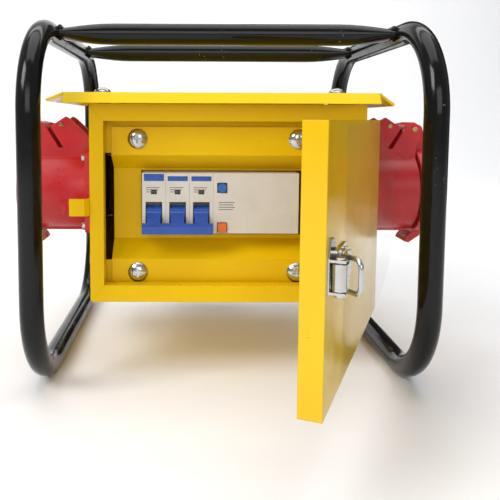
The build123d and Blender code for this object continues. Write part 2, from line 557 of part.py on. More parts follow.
with BuildPart() as reset_button:
    with Locations((-3.1, front(FACE_Y - 1.4), 110.4)):
        Box(6.6, 4.6, 6.6, align=(Align.CENTER, Align.MIN, Align.CENTER))
    fillet(reset_button.edges().filter_by(Axis.Y), radius=0.6)
reset_button.part.label = "reset_button"
export_step(reset_button.part, "parts/reset_button.step")

# cable gland in the box back
with BuildPart() as gland_body:
    with BuildSketch(Plane(origin=(0, front(BOX_D), GLAND_Z), x_dir=(1, 0, 0), z_dir=(0, 1, 0))):
        RegularPolygon(13.5, 6)
    extrude(amount=7)
    with BuildSketch(Plane(origin=(0, front(BOX_D + 7), GLAND_Z), x_dir=(1, 0, 0), z_dir=(0, 1, 0))):
        Circle(10.0)
    extrude(amount=6)
    with BuildSketch(Plane(origin=(0, front(BOX_D), GLAND_Z), x_dir=(1, 0, 0), z_dir=(0, -1, 0))):
        Circle(9.9)
    extrude(amount=10)
    with Locations(Location((0, front(BOX_D), GLAND_Z), (90, 0, 0))):
        Cylinder(6.2, 60, mode=Mode.SUBTRACT)
gland_body.part.label = "gland_body"
export_step(gland_body.part, "parts/gland_body.step")

with BuildPart() as gland_cap:
    with BuildSketch(Plane(origin=(0, front(BOX_D + 13), GLAND_Z), x_dir=(1, 0, 0), z_dir=(0, 1, 0))):
        RegularPolygon(13.0, 12)
        Circle(6.2, mode=Mode.SUBTRACT)
    extrude(amount=9)
gland_cap.part.label = "gland_cap"
export_step(gland_cap.part, "parts/gland_cap.step")

with BuildPart() as gland_locknut:
    with BuildSketch(Plane(origin=(0, front(BOX_D - SHEET), GLAND_Z), x_dir=(1, 0, 0), z_dir=(0, -1, 0))):
        RegularPolygon(13.5, 6)
        Circle(9.9, mode=Mode.SUBTRACT)
    extrude(amount=4)
gland_locknut.part.label = "gland_locknut"
export_step(gland_locknut.part, "parts/gland_locknut.step")

# ---------------------------------------------------------------- sockets (right, then mirrored)
SFX = BOX_W / 2          # box side
FL_T = 4.0               # flange thickness
GSK = 1.5                # flange gasket
LUG_Y = 15.0             # lugs, from the socket axis
LUG_T = 4.0
PIN_X, PIN_Z = 143.7, 184.0
PIN_R = 2.0
SPR_X, SPR_Z = 124.6, 186.5


def sock_plane(x):
    return Plane(origin=(x, front(SOCK_Y), SOCK_Z), x_dir=(0, 1, 0), z_dir=(1, 0, 0))


with BuildPart() as socket_gasket_right:
    with BuildSketch(sock_plane(SFX)):
        RectangleRounded(61, 61, 5)
        Circle(WELL_R - 1, mode=Mode.SUBTRACT)
        with GridLocations(2 * SCREW_P, 2 * SCREW_P, 2, 2):
            Circle(2.4, mode=Mode.SUBTRACT)
    extrude(amount=GSK)
socket_gasket_right.part.label = "socket_gasket_right"
export_step(socket_gasket_right.part, "parts/socket_gasket_right.step")

with BuildPart() as socket_housing_right:
    with BuildSketch(sock_plane(SFX + GSK)):
        RectangleRounded(62, 62, 5)
    extrude(amount=FL_T)
    with BuildSketch(sock_plane(SFX + GSK + FL_T)):
        Circle(SOCK_R)
    extrude(amount=SOCK_OUT - SFX - GSK - FL_T)
    # foot rib along the bottom of the collar
    with Locations((SFX + GSK + FL_T, front(SOCK_Y), SOCK_Z - SOCK_R - 0.6)):
        Box(36, 16, 5.0, align=(Align.MIN, Align.CENTER, Align.MIN))
    # inner gusset lugs with the spring pin, outer gable lugs with the lid pin,
    # a slanted slot between them
    for s in (-1, 1):
        with BuildSketch(Plane(origin=(0, front(SOCK_Y + s * LUG_Y), 0), x_dir=(1, 0, 0), z_dir=(0, -1, 0))):
            with BuildLine():
                Polyline((SFX + GSK + 1, 160), (SFX + GSK + 1, 176), (118.5, 191.0), (121.5, 192.8), (133.1, 185.3), (123.4, 169.2),
                     (123.4, 160), (SFX + GSK + 1, 160))
            make_face()
        extrude(amount=LUG_T / 2, both=True)
        with BuildSketch(Plane(origin=(0, front(SOCK_Y + s * LUG_Y), 0), x_dir=(1, 0, 0), z_dir=(0, -1, 0))):
            with BuildLine():
                Polyline((126.1, 160), (126.1, 167.6), (136.2, 184.2), (137.0, 187.6), (142.8, 188.9), (147.8, 187.0), (147.8, 176.0),
                     (144.9, 171.0), (144.9, 160), (126.1, 160))
            make_face()
        extrude(amount=LUG_T / 2, both=True)
    # web between the lugs, behind the slot
    with BuildSketch(Plane(origin=(0, front(SOCK_Y), 0), x_dir=(1, 0, 0), z_dir=(0, -1, 0))):
        with BuildLine():
            Polyline((118, 160), (118, 178), (129, 186), (136.5, 186), (136.5, 170), (133, 165), (133, 160), (118, 160))
        make_face()
    extrude(amount=5.0, both=True)
    # bridge under the lugs
    with Locations((SFX + GSK + FL_T, front(SOCK_Y), SOCK_Z + 20)):
        Box(SOCK_OUT - SFX - GSK - FL_T, 2 * LUG_Y + LUG_T, 12.5, align=(Align.MIN, Align.CENTER, Align.MIN))
    # well, open at the mouth
    with BuildSketch(sock_plane(SFX + GSK)):
        Circle(WELL_R)
    extrude(amount=60, mode=Mode.SUBTRACT)
    # pin and screw holes
    with Locations(Location((PIN_X, front(SOCK_Y), PIN_Z), (90, 0, 0))):
        Cylinder(PIN_R, 60, mode=Mode.SUBTRACT)
    with Locations(Location((SPR_X, front(SOCK_Y), SPR_Z), (90, 0, 0))):
        Cylinder(1.6, 60, mode=Mode.SUBTRACT)
    for dy in (-SCREW_P, SCREW_P):
        for dz in (-SCREW_P, SCREW_P):
            with Locations(Location((SFX, front(SOCK_Y + dy), SOCK_Z + dz), (0, 90, 0))):
                Cylinder(2.2, 30, mode=Mode.SUBTRACT)
socket_housing_right.part.label = "socket_housing_right"
export_step(socket_housing_right.part, "parts/socket_housing_right.step")

with BuildPart() as socket_insert_right:
    with BuildSketch(sock_plane(SFX - 6)):
        Circle(WELL_R - 1.3)
    extrude(amount=14)
    with BuildSketch(sock_plane(SFX + 8)):
        Circle(18.0)
    extrude(amount=28)
    with BuildSketch(sock_plane(SFX + 20)):
        with PolarLocations(11.4, 5, start_angle=18):
            Circle(3.2)
    extrude(amount=30, mode=Mode.SUBTRACT)
    # the carrier screws into its base disc
    with BuildSketch(sock_plane(SFX + 8 - SEAM)):
        Circle(WELL_R)
    extrude(amount=2 * SEAM, mode=Mode.SUBTRACT)
socket_insert_right.part.label = "socket_insert_right"
export_step(socket_insert_right.part, "parts/socket_insert_right.step")

with BuildPart() as socket_contacts_right:
    with BuildSketch(sock_plane(SFX + 20)):
        with PolarLocations(11.4, 5, start_angle=18):
            Circle(3.2)
            Circle(2.5, mode=Mode.SUBTRACT)
    extrude(amount=14)
socket_contacts_right.part.label = "socket_contacts_right"
export_step(socket_contacts_right.part, "parts/socket_contacts_right.step")

with BuildPart() as socket_screws_right:
    for dy in (-SCREW_P, SCREW_P):
        for dz in (-SCREW_P, SCREW_P):
            with Locations(Location((SFX + GSK + FL_T, front(SOCK_Y + dy), SOCK_Z + dz), (0, 90, 0))):
                Cylinder(3.4, 2.4, align=(Align.CENTER, Align.CENTER, Align.MIN))
                Cylinder(2.0, 14, align=(Align.CENTER, Align.CENTER, Align.MAX))
            with Locations((SFX + GSK + FL_T + 2.4, front(SOCK_Y + dy), SOCK_Z + dz)):
                Box(2.0, 4.6, 0.9, mode=Mode.SUBTRACT)
                Box(2.0, 0.9, 4.6, mode=Mode.SUBTRACT)
socket_screws_right.part.label = "socket_screws_right"
export_step(socket_screws_right.part, "parts/socket_screws_right.step")

LID_R = 34.0
LID_X0 = SOCK_OUT + 1.2
LID_X1 = 156.0
with BuildPart() as socket_lid_right:
    with BuildSketch(sock_plane(LID_X0)):
        Circle(LID_R)
    extrude(amount=LID_X1 - LID_X0)
    fillet(socket_lid_right.edges().group_by(Axis.X)[-1], radius=2.5)
    with BuildSketch(sock_plane(LID_X0 - 0.5)):
        Circle(LID_R - 4)
    extrude(amount=8.0, mode=Mode.SUBTRACT)
    # neck up to the hinge knuckle between the outer lugs
    with BuildSketch(Plane(origin=(0, front(SOCK_Y), 0), x_dir=(1, 0, 0), z_dir=(0, -1, 0))):
        with BuildLine():
            Polyline((LID_X0 + 0.3, 164), (LID_X1 - 2.2, 164), (LID_X1 - 2.2, 176), (151, 186), (PIN_X + 1.5, PIN_Z + 5.2),
                     (PIN_X - 2, PIN_Z + 4.8), (PIN_X - 2, PIN_Z - 4.8), (LID_X0 + 0.3, 178), (LID_X0 + 0.3, 164))
        make_face()
    extrude(amount=11.5, both=True)
    with Locations(Location((PIN_X, front(SOCK_Y), PIN_Z), (90, 0, 0))):
        Cylinder(5.4, 23)
        Cylinder(PIN_R + 0.06, 40, mode=Mode.SUBTRACT)
    with BuildSketch(sock_plane(LID_X0 - 0.5)):
        Circle(LID_R - 4)
    extrude(amount=8.0, mode=Mode.SUBTRACT)
    # thumb tab flaring out below the collar
    with BuildSketch(Plane(origin=(0, front(SOCK_Y), 0), x_dir=(1, 0, 0), z_dir=(0, -1, 0))):
        with BuildLine():
            Polyline((LID_X0 + 0.4, 104.4), (141.6, 99.4), (140.6, 96.6), (143.6, 95.8), (151.5, 101.2), (153.5, 104.4), (LID_X0 + 0.4, 104.4))
        make_face()
    extrude(amount=11, both=True)
socket_lid_right.part.label = "socket_lid_right"
export_step(socket_lid_right.part, "parts/socket_lid_right.step")

with BuildPart() as lid_seal_right:
    with BuildSketch(sock_plane(LID_X0 + 4.5)):
        Circle(LID_R - 4)
        Circle(WELL_R - 1, mode=Mode.SUBTRACT)
    extrude(amount=3.0)
lid_seal_right.part.label = "lid_seal_right"
export_step(lid_seal_right.part, "parts/lid_seal_right.step")

with BuildPart() as lid_pin_right:
    with Locations(Location((PIN_X, front(SOCK_Y), PIN_Z), (90, 0, 0))):
        Cylinder(PIN_R, 2 * LUG_Y + LUG_T + 1.6)
lid_pin_right.part.label = "lid_pin_right"
export_step(lid_pin_right.part, "parts/lid_pin_right.step")

with BuildPart() as spring_pin_right:
    with Locations(Location((SPR_X, front(SOCK_Y), SPR_Z), (90, 0, 0))):
        Cylinder(1.6, 2 * LUG_Y + LUG_T + 1.6)
spring_pin_right.part.label = "spring_pin_right"
export_step(spring_pin_right.part, "parts/spring_pin_right.step")

# mirrored set on the left side
with BuildPart() as socket_gasket_left:
    add(mirror(socket_gasket_right.part, about=Plane.YZ))
socket_gasket_left.part.label = "socket_gasket_left"
export_step(socket_gasket_left.part, "parts/socket_gasket_left.step")
with BuildPart() as socket_housing_left:
    add(mirror(socket_housing_right.part, about=Plane.YZ))
socket_housing_left.part.label = "socket_housing_left"
export_step(socket_housing_left.part, "parts/socket_housing_left.step")
with BuildPart() as socket_insert_left:
    add(mirror(socket_insert_right.part, about=Plane.YZ))
socket_insert_left.part.label = "socket_insert_left"
export_step(socket_insert_left.part, "parts/socket_insert_left.step")
with BuildPart() as socket_contacts_left:
    add(mirror(socket_contacts_right.part, about=Plane.YZ))
socket_contacts_left.part.label = "socket_contacts_left"
export_step(socket_contacts_left.part, "parts/socket_contacts_left.step")
with BuildPart() as socket_screws_left:
    add(mirror(socket_screws_right.part, about=Plane.YZ))
socket_screws_left.part.label = "socket_screws_left"
export_step(socket_screws_left.part, "parts/socket_screws_left.step")
with BuildPart() as socket_lid_left:
    add(mirror(socket_lid_right.part, about=Plane.YZ))
socket_lid_left.part.label = "socket_lid_left"
export_step(socket_lid_left.part, "parts/socket_lid_left.step")
with BuildPart() as lid_seal_left:
    add(mirror(lid_seal_right.part, about=Plane.YZ))
lid_seal_left.part.label = "lid_seal_left"
export_step(lid_seal_left.part, "parts/lid_seal_left.step")
with BuildPart() as lid_pin_left:
    add(mirror(lid_pin_right.part, about=Plane.YZ))
lid_pin_left.part.label = "lid_pin_left"
export_step(lid_pin_left.part, "parts/lid_pin_left.step")
with BuildPart() as spring_pin_left:
    add(mirror(spring_pin_right.part, about=Plane.YZ))
spring_pin_left.part.label = "spring_pin_left"
export_step(spring_pin_left.part, "parts/spring_pin_left.step")

# ---------------------------------------------------------------- door hinges
HINGE_Z = (80.0, 171.0)  # two knuckle stacks
KN_H = 24.0
KN_R = 4.0
with BuildPart() as hinge_leaves_box:
    for z in HINGE_Z:
        for k in (-1, 1):
            with Locations((HINGE_X, HY, z + k * KN_H / 3)):
                Cylinder(KN_R, KN_H / 3 - 0.6)
            with Locations((BOX_W / 2, HY, z + k * KN_H / 3)):
                Box(2.0, -HINGE_DY + 4.6, KN_H / 3 - 0.6, align=(Align.MIN, Align.MIN, Align.CENTER))
        with Locations((HINGE_X, HY, z)):
            Cylinder(HINGE_R, KN_H + 4, mode=Mode.SUBTRACT)
        with Locations((BOX_W / 2, front(0.6), z)):
            Box(2.0, 4.0, KN_H, align=(Align.MIN, Align.MIN, Align.CENTER))
hinge_leaves_box.part.label = "hinge_leaves_box"
export_step(hinge_leaves_box.part, "parts/hinge_leaves_box.step")

with BuildPart() as hinge_pins:
    for z in HINGE_Z:
        with Locations((HINGE_X, HY, z)):
            Cylinder(HINGE_R, KN_H + 1)
hinge_pins.part.label = "hinge_pins"
export_step(hinge_pins.part, "parts/hinge_pins.step")

# ---------------------------------------------------------------- door, in its own (s, n, z) plane
# s runs from the hinge axis to the free edge, n outward through the door skin
DH = DOOR_Z1 - DOOR_Z0
DM = (DOOR_Z0 + DOOR_Z1) / 2
RIM0 = 6.0               # hinge-side rim starts here
LZ = 122.5               # latch centre height
RIVETS = ((149.5, LZ - 3.6), (149.5, LZ + 3.6))
with BuildPart(DOORP) as door_pan:
    with Locations((RIM0, FACE_N - DOOR_RIM, DOOR_Z0)):
        Box(DOOR_L - RIM0, DOOR_RIM, DH, align=(Align.MIN, Align.MIN, Align.MIN))
    with Locations((RIM0 + DOOR_T, FACE_N - DOOR_RIM - 1, DOOR_Z0 + DOOR_T)):
        Box(DOOR_L - RIM0 - 2 * DOOR_T, DOOR_RIM + 1 - DOOR_T, DH - 2 * DOOR_T, align=(Align.MIN, Align.MIN, Align.MIN), mode=Mode.SUBTRACT)
    for z in HINGE_Z:
        with Locations((RIM0 - 1, FACE_N - DOOR_T - 2.1, z)):
            Box(4, 2.1, KN_H / 3 + 0.4, align=(Align.MIN, Align.MIN, Align.CENTER), mode=Mode.SUBTRACT)
    for (s, z) in RIVETS:
        with Locations(Location((s, FACE_N, z), (-90, 0, 0))):
            Cylinder(1.6, 8, mode=Mode.SUBTRACT)
door_pan.part.label = "door_pan"
export_step(door_pan.part, "parts/door_pan.step")

with BuildPart(DOORP) as hinge_leaves_door:
    for z in HINGE_Z:
        with Locations((0, 0, z)):
            Cylinder(KN_R, KN_H / 3 - 0.6)
        with Locations((0, FACE_N - DOOR_T - 2.0, z)):
            Box(26, 2.0, KN_H / 3 - 0.6, align=(Align.MIN, Align.MIN, Align.CENTER))
        with Locations((0, 0, z)):
            Box(2.0, FACE_N - DOOR_T, KN_H / 3 - 0.6, align=(Align.CENTER, Align.MIN, Align.CENTER))
        with Locations((0, 0, z)):
            Cylinder(HINGE_R + 0.06, KN_H + 4, mode=Mode.SUBTRACT)
        with Locations((RIM0 + DOOR_T, FACE_N - DOOR_T - 2.0, z)):
            Box(20, 2.0, KN_H, align=(Align.MIN, Align.MIN, Align.CENTER))
hinge_leaves_door.part.label = "hinge_leaves_door"
export_step(hinge_leaves_door.part, "parts/hinge_leaves_door.step")

with BuildPart(DOORP) as door_gasket:
    with Locations((RIM0 + 30, FACE_N - DOOR_T - 4.5, DOOR_Z0 + 8)):
        Box(DOOR_L - RIM0 - 40, 4.5, DH - 16, align=(Align.MIN, Align.MIN, Align.MIN))
    with Locations((RIM0 + 36, FACE_N - DOOR_T - 6, DOOR_Z0 + 14)):
        Box(DOOR_L - RIM0 - 52, 8, DH - 28, align=(Align.MIN, Align.MIN, Align.MIN), mode=Mode.SUBTRACT)
door_gasket.part.label = "door_gasket"
export_step(door_gasket.part, "parts/door_gasket.step")

# ---------------------------------------------------------------- draw latch on the door
LEV_S, LEV_N = 187.0, FACE_N + 5.0     # lever pivot, near the free edge
BAIL_S, BAIL_N = 178.0, FACE_N + 5.2   # bail pivot on the lever
LEV_H = 6.0              # lever, half height
with BuildPart(DOORP) as latch_base:
    with Locations((146, FACE_N, LZ)):
        Box(44, 1.0, 16.4, align=(Align.MIN, Align.MIN, Align.CENTER))
    for k in (-1, 1):
        with Locations((184, FACE_N, LZ + k * 7.2)):
            Box(6, 8, 1.2, align=(Align.MIN, Align.MIN, Align.CENTER))
    with BuildSketch(Plane(origin=DOORP.from_local_coords((0, FACE_N, 0)), x_dir=DOORP.x_dir, z_dir=-DOORP.y_dir)):
        with BuildLine():
            Polyline((168, LZ + 8.1), (190, LZ + 8.1), (186, LZ + 16), (180, LZ + 16), (168, LZ + 8.1))
        make_face()
    extrude(amount=-1.0)
    with Locations((184, FACE_N, LZ + 11.0)):
        Box(8, 6.5, 1.2, align=(Align.CENTER, Align.MIN, Align.CENTER))
    with Locations((LEV_S, LEV_N, LZ)):
        Cylinder(1.5, 24, mode=Mode.SUBTRACT)
    for (s, z) in RIVETS:
        with Locations(Location((s, FACE_N, z), (-90, 0, 0))):
            Cylinder(1.6, 8, mode=Mode.SUBTRACT)
latch_base.part.label = "latch_base"
export_step(latch_base.part, "parts/latch_base.step")

with BuildPart(DOORP) as latch_lever:
    with Locations((LEV_S, LEV_N, LZ)):
        Cylinder(3.7, 2 * LEV_H)
    with BuildSketch(DOORP.offset(LZ - LEV_H)):
        with BuildLine():
            Polyline((187, FACE_N + 8.7), (178.6, FACE_N + 7.9), (170, FACE_N + 5.4), (158, FACE_N + 3.6), (154.4, FACE_N + 5.0),
                     (153.8, FACE_N + 3.9), (157.6, FACE_N + 2.2), (187, FACE_N + 1.8), (187, FACE_N + 8.7))
        make_face()
    extrude(amount=2 * LEV_H)
    with Locations((LEV_S, LEV_N, LZ)):
        Cylinder(1.56, 24, mode=Mode.SUBTRACT)
    with Locations((BAIL_S, BAIL_N, LZ)):
        Cylinder(1.26, 24, mode=Mode.SUBTRACT)
latch_lever.part.label = "latch_lever"
export_step(latch_lever.part, "parts/latch_lever.step")

with BuildPart(DOORP) as latch_pin:
    with Locations((LEV_S, LEV_N, LZ)):
        Cylinder(1.5, 15.6)
    for k in (-1, 1):
        with Locations((LEV_S, LEV_N, LZ + k * 8.35)):
            Cylinder(2.4, 1.1)
latch_pin.part.label = "latch_pin"
export_step(latch_pin.part, "parts/latch_pin.step")

# wire bail: one closed loop of wire through the lever, standing off the door
BAIL_TILT = 47.0         # standing angle off the door face
BAIL_RUN = 12.0
BAIL_H = 7.75
WIRE_R = 1.2
BO = DOORP.from_local_coords((BAIL_S, BAIL_N, LZ))
BD = DOORP.x_dir * cos(radians(BAIL_TILT)) + DOORP.y_dir * sin(radians(BAIL_TILT))
with BuildPart() as latch_bail:
    with BuildLine(Plane(origin=(BO.X, BO.Y, LZ), x_dir=BD, z_dir=(BD.Y, -BD.X, 0))) as bail_path:
        FilletPolyline((0, -BAIL_H), (BAIL_RUN, -BAIL_H), (BAIL_RUN, BAIL_H), (0, BAIL_H), radius=[1.6, 4, 4, 1.6], close=True)
    with BuildSketch(Plane(origin=bail_path.line @ 0, z_dir=bail_path.line % 0)):
        Circle(WIRE_R)
    sweep()
latch_bail.part.label = "latch_bail"
export_step(latch_bail.part, "parts/latch_bail.step")

with BuildPart(DOORP) as latch_rivets:
    for (s, z) in RIVETS:
        with Locations(Location((s, FACE_N - DOOR_T, z), (-90, 0, 0))):
            Cylinder(1.6, DOOR_T + 1.2, align=(Align.CENTER, Align.CENTER, Align.MIN))
        with Locations(Location((s, FACE_N + 1.2, z), (-90, 0, 0))):
            Cylinder(2.7, 1.0, align=(Align.CENTER, Align.CENTER, Align.MIN))
        with Locations(Location((s, FACE_N - DOOR_T - 1.0, z), (-90, 0, 0))):
            Cylinder(2.7, 1.0, align=(Align.CENTER, Align.CENTER, Align.MIN))
latch_rivets.part.label = "latch_rivets"
export_step(latch_rivets.part, "parts/latch_rivets.step")

# clear film still on the door face, its hinge-side edge bowing away
FILM_T = 0.6
BOW = 11.0
with BuildPart(DOORP) as door_film:
    for (s0, b0, s1, b1) in ((7.5, BOW, 80.0, 4.5), (80.0, 4.5, 146.0, 0.3)):
        for (s, b) in ((s0, b0), (s1, b1)):
            with BuildSketch(Plane(origin=DOORP.from_local_coords((s, FACE_N + 0.1, 0)), x_dir=DOORP.z_dir, z_dir=-DOORP.x_dir)):
                with BuildLine():
                    ThreePointArc((DOOR_Z0 + 2, 0), (DM, b), (DOOR_Z1 - 2, 0))
                    Line((DOOR_Z1 - 2, 0), (DOOR_Z1 - 2, FILM_T))
                    ThreePointArc((DOOR_Z1 - 2, FILM_T), (DM, b + FILM_T), (DOOR_Z0 + 2, FILM_T))
                    Line((DOOR_Z0 + 2, FILM_T), (DOOR_Z0 + 2, 0))
                make_face()
        loft()
door_film.part.label = "door_film"
export_step(door_film.part, "parts/door_film.step")
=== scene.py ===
import bpy, bmesh, json, math, random
from mathutils import Vector, Matrix


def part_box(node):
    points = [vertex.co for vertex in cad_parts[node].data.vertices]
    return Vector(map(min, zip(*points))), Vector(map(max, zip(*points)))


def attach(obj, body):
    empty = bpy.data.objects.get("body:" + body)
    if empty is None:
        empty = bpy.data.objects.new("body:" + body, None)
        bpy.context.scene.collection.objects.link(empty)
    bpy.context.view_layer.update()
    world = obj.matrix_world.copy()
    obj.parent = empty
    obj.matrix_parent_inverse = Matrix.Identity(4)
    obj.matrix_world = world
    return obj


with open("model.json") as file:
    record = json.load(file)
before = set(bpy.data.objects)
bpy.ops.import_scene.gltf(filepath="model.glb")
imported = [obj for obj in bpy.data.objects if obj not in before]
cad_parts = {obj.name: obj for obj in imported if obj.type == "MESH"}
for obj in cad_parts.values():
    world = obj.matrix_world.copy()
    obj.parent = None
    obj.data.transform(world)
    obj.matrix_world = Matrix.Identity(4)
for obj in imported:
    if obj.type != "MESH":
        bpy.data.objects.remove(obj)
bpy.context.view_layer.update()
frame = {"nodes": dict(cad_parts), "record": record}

random.seed(7)
NODES = frame["nodes"]

# ------------------------------------------------------------------ places
# the shell's front plane comes from the imported front frame
SH_LO, SH_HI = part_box("box_front_frame")
FRONT = SH_LO.y


def mm(*v):
    """case coordinates in millimetres (x from the middle, y behind the front plane, z up) to metres"""
    return Vector((v[0] / 1000.0, FRONT + v[1] / 1000.0, v[2] / 1000.0))


# ------------------------------------------------------------------ node helpers
class Mat:
    """small helper round one material's node tree"""

    def __init__(self, name, base, rough=0.5, metal=0.0, coat=0.0, coat_rough=0.05, spec=0.5, ior=1.5):
        self.m = bpy.data.materials.new(name)
        self.m.use_nodes = True
        self.t = self.m.node_tree
        self.t.nodes.clear()
        self.out = self.n("ShaderNodeOutputMaterial")
        self.b = self.n("ShaderNodeBsdfPrincipled")
        self.link(self.b.outputs[0], self.out.inputs[0])
        self.b.inputs["Base Color"].default_value = (*base, 1)
        self.b.inputs["Roughness"].default_value = rough
        self.b.inputs["Metallic"].default_value = metal
        self.b.inputs["Coat Weight"].default_value = coat
        self.b.inputs["Coat Roughness"].default_value = coat_rough
        self.b.inputs["Specular IOR Level"].default_value = spec
        self.b.inputs["IOR"].default_value = ior
        self.geo = self.n("ShaderNodeNewGeometry")
        self.pos = self.geo.outputs["Position"]
        self.co = self.n("ShaderNodeTexCoord").outputs["Object"]
        self.normal = None

    def n(self, kind, **props):
        node = self.t.nodes.new(kind)
        for k, v in props.items():
            setattr(node, k, v)
        return node

    def link(self, a, b):
        self.t.links.new(a, b)

    def noise(self, scale, detail=3.0, rough=0.5, dist=0.0, vec=None, stretch=None):
        v = vec or self.co
        if stretch:
            mp = self.n("ShaderNodeMapping")
            mp.inputs["Scale"].default_value = stretch
            self.link(v, mp.inputs["Vector"])
            v = mp.outputs[0]
        nz = self.n("ShaderNodeTexNoise")
        nz.inputs["Scale"].default_value = scale
        nz.inputs["Detail"].default_value = detail
        nz.inputs["Roughness"].default_value = rough
        nz.inputs["Distortion"].default_value = dist
        self.link(v, nz.inputs["Vector"])
        return nz.outputs["Fac"]

    def voronoi(self, scale, feature="F1", vec=None):
        vo = self.n("ShaderNodeTexVoronoi", feature=feature)
        vo.inputs["Scale"].default_value = scale
        self.link(vec or self.co, vo.inputs["Vector"])
        return vo.outputs["Distance"]

    def ramp(self, fac, stops):
        r = self.n("ShaderNodeValToRGB")
        el = r.color_ramp.elements
        while len(el) < len(stops):
            el.new(0.5)
        for e, (p, c) in zip(el, stops):
            e.position = p
            e.color = (c, c, c, 1) if isinstance(c, (int, float)) else (*c, 1)
        self.link(fac, r.inputs["Fac"])
        return r.outputs["Color"]

    def math(self, op, a, b=None, clamp=False):
        m = self.n("ShaderNodeMath", operation=op, use_clamp=clamp)
        for i, v in enumerate((a, b)):
            if v is None:
                continue
            if isinstance(v, (int, float)):
                m.inputs[i].default_value = v
            else:
                self.link(v, m.inputs[i])
        return m.outputs[0]

    def mix(self, fac, a, b, mode="MIX"):
        m = self.n("ShaderNodeMix", data_type="RGBA", blend_type=mode)
        m.clamp_factor = True
        for sock, v in ((m.inputs[0], fac), (m.inputs[6], a), (m.inputs[7], b)):
            if isinstance(v, (int, float)):
                sock.default_value = v
            elif isinstance(v, tuple):
                sock.default_value = (*v, 1) if len(v) == 3 else v
            else:
                self.link(v, sock)
        return m.outputs[2]

    def rng(self, v, a, b, c, d):
        m = self.n("ShaderNodeMapRange")
        for i, x in enumerate((a, b, c, d)):
            m.inputs[i + 1].default_value = x
        self.link(v, m.inputs[0])
        return m.outputs[0]

    def xyz(self, vec=None):
        s = self.n("ShaderNodeSeparateXYZ")
        self.link(vec or self.co, s.inputs[0])
        return s.outputs

    def edge(self, radius=0.0015, lo=0.02, hi=0.25):
        """1 on convex or concave creases, from the bevelled normal against the true one"""
        bv = self.n("ShaderNodeBevel", samples=4)
        bv.inputs["Radius"].default_value = radius
        d = self.n("ShaderNodeVectorMath", operation="DOT_PRODUCT")
        self.link(bv.outputs[0], d.inputs[0])
        self.link(self.geo.outputs["Normal"], d.inputs[1])
        return self.rng(self.math("SUBTRACT", 1.0, d.outputs["Value"]), lo, hi, 0.0, 1.0)

    def soft_edges(self, radius=0.0006):
        bv = self.n("ShaderNodeBevel", samples=6)
        bv.inputs["Radius"].default_value = radius
        self.normal = bv.outputs[0]

    def bump(self, h, strength, dist):
        b = self.n("ShaderNodeBump")
        b.inputs["Strength"].default_value = strength
        b.inputs["Distance"].default_value = dist
        self.link(h, b.inputs["Height"])
        if self.normal is not None:
            self.link(self.normal, b.inputs["Normal"])
        self.normal = b.outputs[0]

    def done(self, color=None, rough=None, metal=None):
        if color is not None:
            self.link(color, self.b.inputs["Base Color"])
        if rough is not None:
            self.link(rough, self.b.inputs["Roughness"])
        if metal is not None:
            self.link(metal, self.b.inputs["Metallic"])
        if self.normal is not None:
            self.link(self.normal, self.b.inputs["Normal"])
        return self.m


# ------------------------------------------------------------------ materials
def black_paint():
    m = Mat("black_gloss_paint", (0.004, 0.004, 0.004), 0.16, 0.0, spec=0.28)
    m.soft_edges(0.0008)
    sag = m.noise(38, 3, 0.5, stretch=(1, 1, 0.35))
    peel = m.noise(900, 2, 0.5)
    m.bump(sag, 0.35, 0.0012)
    m.bump(peel, 0.10, 0.0002)
    chips = m.math("MULTIPLY", m.rng(m.noise(420, 4, 0.62), 0.665, 0.69, 0, 1), m.rng(m.noise(26, 2, 0.5), 0.60, 0.66, 0, 1), True)
    scuff = m.rng(m.noise(60, 5, 0.7, 0.6), 0.52, 0.72, 0.0, 1.0)
    dust = m.rng(m.noise(11, 4, 0.6), 0.4, 0.75, 0.0, 1.0)
    col = m.mix(m.math("MULTIPLY", dust, 0.5), (0.0034, 0.0033, 0.0032), (0.008, 0.0072, 0.0064))
    col = m.mix(chips, col, (0.34, 0.33, 0.31))
    r = m.rng(scuff, 0, 1, 0.13, 0.30)
    r = m.math("ADD", r, m.math("MULTIPLY", chips, 0.35), True)
    return m.done(col, r)


# wear sets the strength of the painted crease shade
def yellow_paint(name="yellow_powder_coat", a=(0.82, 0.53, 0.0006), b=(0.76, 0.46, 0.0005), rough=0.28, crease_shade_strength=0.5, spec=0.14):
    m = Mat(name, a, rough, 0.0, spec=spec)
    m.soft_edges(0.0007)
    m.bump(m.noise(14, 2, 0.5), 0.25, 0.0016)
    m.bump(m.noise(1500, 2, 0.55), 0.16, 0.00012)
    tone = m.rng(m.noise(9, 4, 0.55), 0.35, 0.7, 0, 1)
    col = m.mix(tone, a, b)
    # painted shade in the folds and creases, a few rubbed edges and scratches
    e = m.edge(0.0016)
    # painted shade: the crease mask darkens the coat to brown, and the roughness is raised there too
    crease_shade = m.math("MULTIPLY", e, m.rng(m.noise(55, 4, 0.65), 0.45, 0.7, 0, 0.55), True)
    col = m.mix(m.math("MULTIPLY", crease_shade, crease_shade_strength), col, (0.30, 0.17, 0.004))
    chip = m.math("MULTIPLY", m.rng(m.noise(520, 3, 0.6), 0.70, 0.72, 0, 1), m.rng(m.noise(31, 2, 0.5), 0.62, 0.67, 0, 1), True)
    col = m.mix(m.math("MULTIPLY", chip, 0.8), col, (0.22, 0.17, 0.10))
    scr = m.math("MULTIPLY", m.rng(m.noise(60, 3, 0.6, stretch=(18, 18, 1)), 0.70, 0.74, 0, 1), m.rng(m.noise(17, 2, 0.5), 0.56, 0.64, 0, 1), True)
    col = m.mix(m.math("MULTIPLY", scr, 0.35), col, (0.93, 0.70, 0.10))
    r = m.rng(m.noise(34, 5, 0.65), 0.3, 0.7, rough - 0.06, rough + 0.10)
    r = m.math("ADD", r, m.math("MULTIPLY", crease_shade, 0.25), True)
    return m.done(col, r)


def door_paint():
    """the same coat, with a strong gloss on the flat outer skin"""
    return yellow_paint("yellow_door_coat", (0.82, 0.53, 0.0006), (0.76, 0.46, 0.0005), 0.15, 0.4, 0.4)


